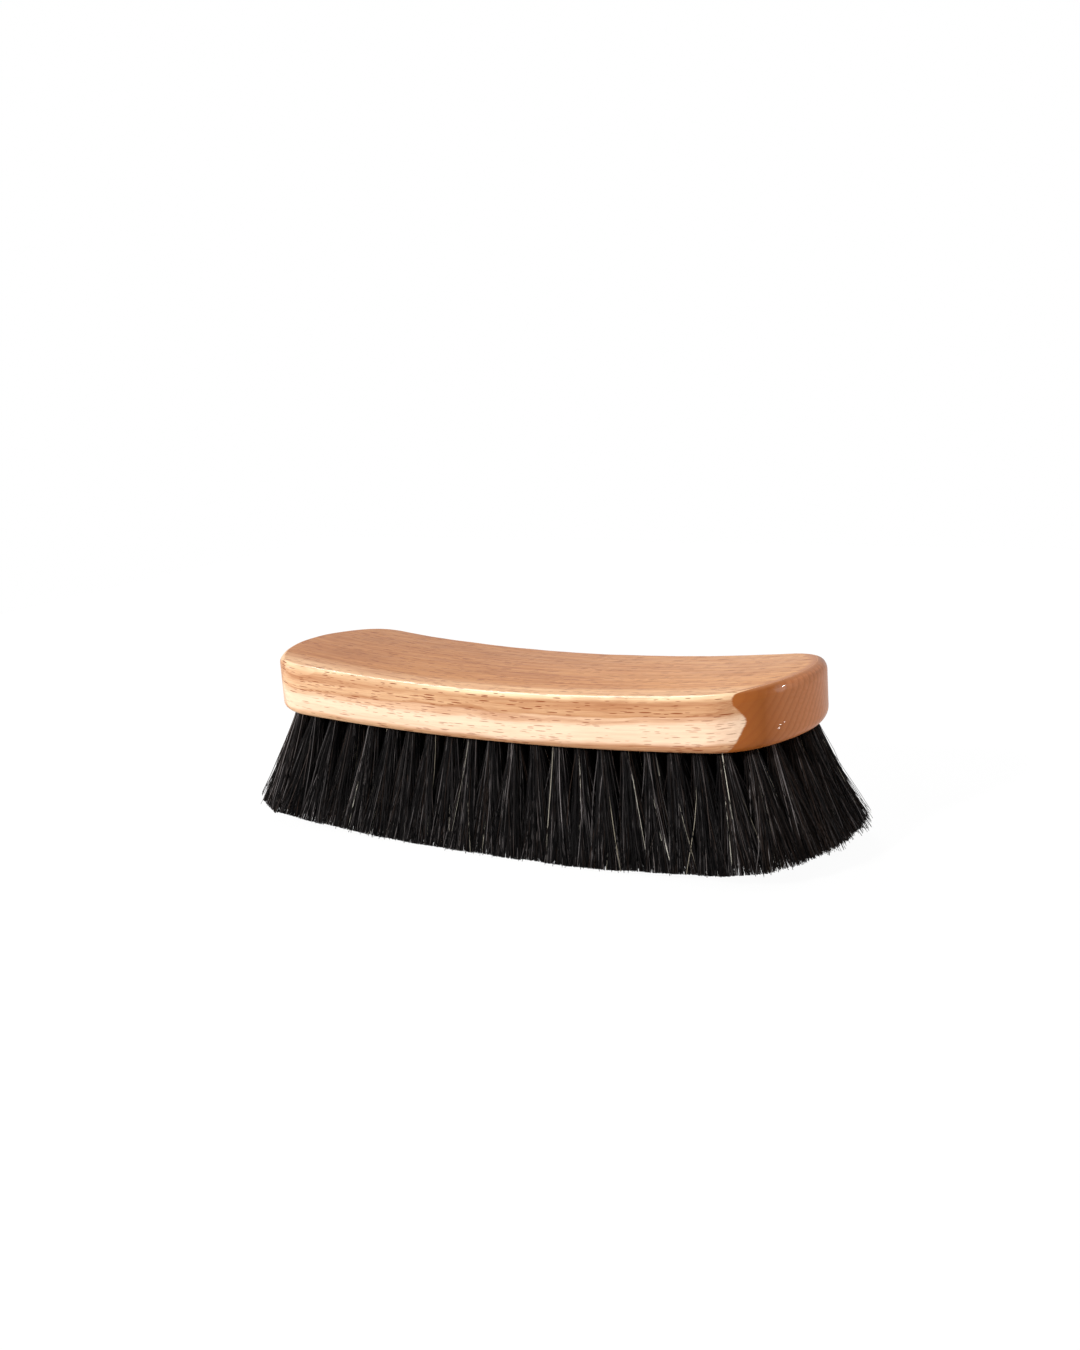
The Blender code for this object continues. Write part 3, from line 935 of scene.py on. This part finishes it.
def make_block(material, groups):
    """One closed body: rounded outside, and a sole with a blind hole for each tuft."""
    shape = bmesh.new()
    loops = [[shape.verts.new(point) for point in ring] for ring in block_rings()]
    count = len(loops[0])
    for lower, upper in zip(loops, loops[1:]):
        for index in range(count):
            after = (index + 1) % count
            shape.faces.new((lower[index], lower[after], upper[after], upper[index]))
    close_back(shape, loops[-1])
    close_sole(shape, loops[0], groups)
    bmesh.ops.recalc_face_normals(shape, faces=shape.faces)

    mesh = bpy.data.meshes.new("beech_body")
    shape.to_mesh(mesh)
    shape.free()
    mesh.materials.append(material)
    block = bpy.data.objects.new("beech_body", mesh)
    bpy.context.scene.collection.objects.link(block)
    mesh.shade_smooth()
    mesh.set_sharp_from_angle(angle=math.radians(SHARP_ANGLE))
    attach(block, "root")
    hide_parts("beech_block")


# Hair


def hair_frames(tufts, count, rim):
    """For each hair: tuft, middle of the tuft, outward and along directions, and how far it faces an end."""
    owner = np.repeat(np.arange(len(tufts)), count)
    facing = np.array([tuft[2] for tuft in tufts])[owner]
    centre = np.array([tuft[:2] for tuft in tufts])[owner]
    outward = np.stack([np.cos(facing), np.sin(facing)], axis=1)
    along = np.stack([-outward[:, 1], outward[:, 0]], axis=1)
    at_end = np.clip((np.abs(outward[:, :1]) - END_FACING) * END_FACING_RISE, 0, 1) * rim
    return owner, centre, outward, along, at_end


def hair_cells(tufts, count, owner, rng):
    """Place of each hair in the unit circle of the roots and in the unit square of the tips."""
    index = np.tile(np.arange(count), len(tufts))
    radial = np.sqrt((index + 0.5) / count)
    angle = index * GOLDEN_ANGLE + rng.uniform(0, 2 * np.pi, len(tufts))[owner]
    circle = np.stack([radial * np.cos(angle), radial * np.sin(angle)], axis=1)
    circle += rng.normal(0, ROOT_SCATTER_SHARE, circle.shape)
    stretch = np.linalg.norm(circle, axis=1) / np.maximum(np.abs(circle).max(axis=1), 1e-6)
    square = circle * stretch[:, None]

    # Tips are drawn towards the nearest wisp of their tuft
    wisps = rng.uniform(-1, 1, (len(tufts), WISPS, 2)) * WISP_REACH_SHARE
    gaps = np.linalg.norm(square[:, None, :] - wisps[owner], axis=2)
    nearest = wisps[owner, np.argmin(gaps, axis=1)]
    pull = rng.uniform(0.0, WISP_PULL_SHARE, (len(owner), 1))
    return circle, square * (1 - pull) + nearest * pull


def tip_places(circle, square, outward, at_end, loose, rim, rng):
    """How far each tip is from its tuft's middle, along the rim and outwards."""
    hairs = len(circle)
    turning = np.abs(outward[:, :1])
    fan = np.where(turning < math.cos(END_HALF_ANGLE), CORNER_FAN_SHARE, END_FAN_SHARE)
    fan = np.where(turning < STRAIGHT_FACING, 1.0, fan) if rim else 1.0
    scatter = np.where(loose, LOOSE_SCATTER, SCATTER)
    wide = square[:, :1] * fan * CELL_WIDTH_SHARE * TUFT_PITCH + rng.normal(0, 1, (hairs, 1)) * scatter
    deep = square[:, 1:] * CELL_DEPTH_SHARE * ROW_SPACING + rng.normal(0, 1, (hairs, 1)) * scatter
    if rim:
        # The outer tufts end on a dense wall; those at the ends of the block stand a little further out
        wall = TIP_RADIUS + at_end * END_WALL
        fringe = (rng.random((hairs, 1)) < FRINGE_SHARE) & (circle[:, 1:] > FRINGE_FROM_SHARE)
        deep = np.where(fringe, wall, deep)
        fringe_wide = rng.uniform(-FRINGE_WIDTH_SHARE, FRINGE_WIDTH_SHARE, (hairs, 1)) * fan * TUFT_PITCH
        wide = np.where(fringe, fringe_wide, wide)
        within = np.abs(rng.normal(0, WALL_DEPTH, (hairs, 1))) * (1 + END_WALL_DEPTH_SHARE * at_end)
        deep = np.minimum(deep, wall - within)
        astray = rng.random((hairs, 1)) < ASTRAY_SHARE + END_ASTRAY_SHARE * at_end
        deep = np.where(astray, wall + np.abs(rng.normal(0, ASTRAY_REACH, (hairs, 1))), deep)
    return wide, deep


def hair_paths(tufts, count, rng, rim):
    """Points of each hair, (hairs, levels, 3)."""
    owner, centre, outward, along, at_end = hair_frames(tufts, count, rim)
    hairs = len(owner)
    circle, square = hair_cells(tufts, count, owner, rng)
    root = centre + ROOT_FILL_SHARE * TUFT_RADIUS * (along * circle[:, :1] + outward * circle[:, 1:])
    root = root - outward * at_end * END_ROOT_INSET

    loose = rng.random((hairs, 1)) < LOOSE_SHARE
    wide, deep = tip_places(circle, square, outward, at_end, loose, rim, rng)
    spread = np.array([SPREAD_X, SPREAD_Y])
    lean = rng.normal(0, TUFT_LEAN, (len(tufts), 2))[owner]
    tip = spread * (centre + along * wide + outward * deep) + lean
    farthest = np.array([TIPS_LENGTH / 2, TIPS_WIDTH / 2]) + STRAY_REACH
    tip = np.clip(tip, -farthest, farthest)

    root_level = sole_z(root[:, 0]) + ROOT_DEPTH
    uneven = np.abs(rng.normal(0, UNEVEN_TRIM, hairs)) * (1 + END_UNEVEN_SHARE * at_end[:, 0])
    uneven = np.where(rng.random(hairs) < LONG_SHARE, uneven * LONG_TIMES, uneven)
    end_level = tip_z(tip[:, 0]) + uneven
    cut = np.where(rng.random(hairs) < SHORT_SHARE, rng.uniform(*SHORT_CUT_SHARES, hairs), 0.0)

    # Down a hair, its tuft leans with all the others, its own part of the tuft opens, and it bends a little
    t = np.linspace(0, 1, HAIR_LEVELS)[None, :, None] * (1 - cut[:, None, None])
    carried = (spread * centre + lean - centre)[:, None, :]
    offset = (tip - (spread * centre + lean) - (root - centre))[:, None, :]
    opening = rng.uniform(*OPENING_POWERS, (hairs, 1, 1))
    flat = root[:, None, :] + carried * t ** LEAN_POWER + offset * t ** opening
    lively = np.where(loose, LOOSE_BEND, 1.0)[:, None, :]
    bow = rng.normal(0, BOW, (hairs, 1, 2)) * lively
    sway = rng.normal(0, SWAY, (hairs, 1, 2)) * lively
    flat = flat + bow * np.sin(np.pi * t) + sway * np.sin(2 * np.pi * t) * t
    height = root_level[:, None, None] * (1 - t) + end_level[:, None, None] * t
    return np.concatenate([flat, np.maximum(height, 0.0)], axis=2)


def hair_uvs(hairs, levels):
    """A small cell of the map for each hair: its three sides as one strip, and its two ends above it."""
    cells = math.ceil(math.sqrt(hairs))
    index = np.arange(hairs)
    corner = np.stack([index % cells, index // cells], axis=1)
    row, side = np.divmod(np.arange((levels - 1) * 3), 3)
    quads = np.stack([side, row, side, row + 1, side + 1, row + 1, side + 1, row], axis=1)
    wide, high = MAP_STRIP_SHARES
    strip = quads.reshape(-1, 2) * (wide / 3, high / (levels - 1)) + MAP_MARGIN_SHARE
    wide, high = MAP_CAP_SHARES
    cap = np.array([(0.0, 0.0), (wide, 0.0), (0.0, high)])
    parts = (strip, *(cap + place for place in MAP_CAP_PLACE_SHARES))
    flat = [(corner[:, None, :] + part).reshape(-1, 2) for part in parts]
    return (np.concatenate(flat) / cells).astype(np.float32)


def tube_faces(hairs, levels):
    """Sides, roots and tips of the tubes, as corner numbers."""
    base = (np.arange(hairs) * levels * 3)[:, None, None]
    level = (np.arange(levels - 1) * 3)[None, :, None]
    side = np.arange(3)[None, None, :]
    a = base + level + side
    b = base + level + (side + 1) % 3
    quads = np.stack([a, a + 3, b + 3, b], axis=3).reshape(-1, 4)
    first = base[:, 0, 0]
    last = first + (levels - 1) * 3
    roots = np.stack([first, first + 1, first + 2], axis=1)
    tips = np.stack([last + 2, last + 1, last], axis=1)
    return quads, np.concatenate([roots, tips])


def hair_mesh(name, points, thickness, tone, warmth, slots, rng):
    """Three-sided tapering tubes along the points, closed at both ends."""
    hairs, levels, _ = points.shape
    t = np.linspace(0, 1, levels)
    taper = thickness[:, None] * (1 - HAIR_TAPER_SHARE * t[None, :] ** 2)
    turn = rng.uniform(0, 2 * np.pi, hairs)
    angle = turn[:, None] + (np.arange(3) * 2 * np.pi / 3)[None, :]
    around = np.stack([np.cos(angle), np.sin(angle), np.zeros_like(angle)], axis=2)
    verts = points[:, :, None, :] + taper[:, :, None, None] * around[:, None, :, :]
    quads, caps = tube_faces(hairs, levels)
    corners = np.concatenate([quads.ravel(), caps.ravel()]).astype(np.int32)
    sizes = np.concatenate([np.full(len(quads), 4), np.full(len(caps), 3)])
    starts = np.concatenate([[0], np.cumsum(sizes)[:-1]]).astype(np.int32)
    face_slots = np.concatenate([np.repeat(slots, (levels - 1) * 3), slots, slots]).astype(np.int32)

    mesh = bpy.data.meshes.new(name)
    mesh.vertices.add(hairs * levels * 3)
    mesh.vertices.foreach_set("co", verts.astype(np.float32).ravel())
    mesh.loops.add(len(corners))
    mesh.loops.foreach_set("vertex_index", corners)
    mesh.polygons.add(len(sizes))
    mesh.polygons.foreach_set("loop_start", starts)
    mesh.polygons.foreach_set("material_index", face_slots)
    mesh.polygons.foreach_set("use_smooth", np.ones(len(sizes), bool))
    mesh.uv_layers.new(name="OFBake").data.foreach_set("uv", hair_uvs(hairs, levels).ravel())
    for label, values in (("tone", tone), ("warmth", warmth)):
        attribute = mesh.attributes.new(label, "FLOAT", "POINT")
        attribute.data.foreach_set("value", np.repeat(values, levels * 3).astype(np.float32))
    mesh.update(calc_edges=True)
    mesh.validate()
    return mesh


def hair_looks(points, rim, rng):
    """Thickness, tone and warmth of each hair, and whether it is a pale one."""
    hairs = len(points)
    radius = RIM_HAIR_RADIUS if rim else INNER_HAIR_RADIUS
    thickness = radius * rng.uniform(*THICKNESS_SHARES, hairs)
    tone = BLACK_TONE * rng.random(hairs)
    kind = rng.random(hairs)
    # Grey and light hairs: partly their own tone, partly painted sheen
    tone = np.where(kind < GREY_AND_SHEEN_SHARE, rng.uniform(*GREY_AND_SHEEN_TONES, hairs), tone)
    tone = np.where(kind < LIGHT_AND_SHEEN_SHARE, rng.uniform(*LIGHT_AND_SHEEN_TONES, hairs), tone)
    thickness = np.where(tone > LIGHT_AND_SHEEN_TONES[0], thickness * LIGHT_THICKNESS_SHARE, thickness)
    # Painted shade: the inner rows are darkened
    tone = tone if rim else tone * INNER_SHADE_SHARE
    far = np.abs(points[:, 0, 0]) / (BLOCK_LENGTH / 2)
    browner = np.clip((far - BROWN_FROM_SHARE) * BROWN_RISE, 0, 1)
    warmth = browner * rng.uniform(0.0, BROWN_TOP_SHARE, hairs) ** BROWN_POWER
    odd = rng.random(hairs) < ODD_BROWN_SHARE
    warmth = np.maximum(warmth, np.where(odd, rng.uniform(0.0, ODD_BROWN_TOP_SHARE, hairs), 0.0))
    pale = rng.random(hairs) < (RIM_PALE_SHARE if rim else INNER_PALE_SHARE)
    thickness = np.where(pale, thickness * rng.uniform(*PALE_THICKNESS_SHARES, hairs), thickness)
    tone = np.where(pale, rng.random(hairs), tone)
    return thickness, tone, warmth, pale


def make_tufts(node, tufts, materials, seed):
    """All hairs of a CAD node's tufts, as one piece."""
    rng = np.random.default_rng(seed)
    rim = node.startswith("rim")
    points = hair_paths(tufts, RIM_HAIRS if rim else INNER_HAIRS, rng, rim)
    thickness, tone, warmth, pale = hair_looks(points, rim, rng)
    mesh = hair_mesh(node + "_hair", points, thickness, tone, warmth, pale.astype(int), rng)
    for material in materials:
        mesh.materials.append(material)
    piece = bpy.data.objects.new(node + "_hair", mesh)
    bpy.context.scene.collection.objects.link(piece)
    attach(piece, "root")
    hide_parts(node)


# Stage, light, camera


def white_share(g):
    """1 for camera, glossy and transmission rays."""
    path = g.add("ShaderNodeLightPath").outputs
    return g.most(path["Is Camera Ray"], path["Is Glossy Ray"], path["Is Transmission Ray"])


def make_floor():
    """White floor that keeps the object's shadow."""
    half = FLOOR_HALF
    mesh = bpy.data.meshes.new("floor")
    corners = [(-half, -half, 0), (half, -half, 0), (half, half, 0), (-half, half, 0)]
    mesh.from_pydata(corners, [], [(0, 1, 2, 3)])
    floor = bpy.data.objects.new("floor", mesh)
    floor.location.z = -FLOOR_DROP
    bpy.context.scene.collection.objects.link(floor)

    material = bpy.data.materials.new("floor_white")
    material.use_nodes = True
    nodes = material.node_tree.nodes
    nodes.remove(nodes["Principled BSDF"])
    g = Graph(material.node_tree)
    diffuse = g.add("ShaderNodeBsdfDiffuse")
    g.join((FLOOR_GREY, FLOOR_GREY, FLOOR_GREY, 1), diffuse.inputs["Color"])
    glow = g.add("ShaderNodeEmission")
    g.join((1, 1, 1, 1), glow.inputs["Color"])
    g.join(FLOOR_GLOW, glow.inputs["Strength"])
    both = g.add("ShaderNodeMixShader")
    g.join(g.times(white_share(g), FLOOR_GLOW_SHARE), both.inputs[0])
    g.join(diffuse.outputs[0], both.inputs[1])
    g.join(glow.outputs[0], both.inputs[2])
    g.join(both.outputs[0], nodes["Material Output"].inputs[0])
    mesh.materials.append(material)


def make_world():
    """White where it is seen, and a weaker light on the object."""
    world = bpy.data.worlds.new("studio")
    bpy.context.scene.world = world
    world.use_nodes = True
    g = Graph(world.node_tree)
    background = world.node_tree.nodes["Background"]
    g.join((1, 1, 1, 1), background.inputs["Color"])
    strength = g.add("ShaderNodeMapRange")
    g.join(white_share(g), strength.inputs["Value"])
    g.join(SKY_LIGHT, strength.inputs["To Min"])
    g.join(1.0, strength.inputs["To Max"])
    g.join(strength.outputs[0], background.inputs["Strength"])


def add_lamp(name, azimuth, elevation, distance, size, share, colour):
    """Area lamp aimed at the object. With share 1, what faces it shows its own colour."""
    lamp = bpy.data.lights.new(name, "AREA")
    lamp.shape = "DISK"
    lamp.size = size
    lamp.energy = share * math.pi ** 2 * distance ** 2
    lamp.color = colour
    item = bpy.data.objects.new(name, lamp)
    a, e = math.radians(azimuth), math.radians(elevation)
    towards = Vector((math.cos(a) * math.cos(e), math.sin(a) * math.cos(e), math.sin(e)))
    item.location = Vector(LAMP_TARGET) + distance * towards
    item.rotation_euler = towards.to_track_quat("Z", "Y").to_euler()
    bpy.context.scene.collection.objects.link(item)


def make_camera():
    """Camera of the photo, turned a little about its own axis."""
    azimuth, elevation, roll = map(math.radians, (CAMERA_AZIMUTH, CAMERA_ELEVATION, CAMERA_ROLL))
    target = Vector((TARGET_X, 0.0, TARGET_ABOVE_SOLE + SOLE_HEIGHT))
    back = Vector((
        math.sin(azimuth) * math.cos(elevation),
        -math.cos(azimuth) * math.cos(elevation),
        math.sin(elevation),
    ))
    right = (-back).cross(Vector((0, 0, 1))).normalized()
    up = right.cross(-back)
    turned_right = right * math.cos(roll) + up * math.sin(roll)
    turned_up = up * math.cos(roll) - right * math.sin(roll)
    camera = bpy.data.cameras.new("camera")
    camera.sensor_fit = "AUTO"
    camera.sensor_width = SENSOR
    camera.lens = FOCAL_PIXELS * SENSOR / PICTURE_HEIGHT
    camera.clip_start = CAMERA_NEAR
    item = bpy.data.objects.new("camera", camera)
    place = target + CAMERA_DISTANCE * back
    rows = [(turned_right[i], turned_up[i], back[i], place[i]) for i in range(3)]
    item.matrix_world = Matrix((*rows, (0, 0, 0, 1)))
    bpy.context.scene.collection.objects.link(item)
    bpy.context.scene.camera = item


# Build

groups = tuft_groups()
make_block(beech_material(), groups)

hairs = (hair_material("horsehair_dark", *DARK_HAIR), hair_material("horsehair_pale", *PALE_HAIR))
for seed, (node, tufts) in enumerate(groups.items(), FIRST_SEED):
    make_tufts(node, tufts, hairs, seed)

make_floor()
make_world()
for lamp in LAMPS:
    add_lamp(*lamp)
make_camera()

bpy.context.scene.view_settings.view_transform = "Standard"
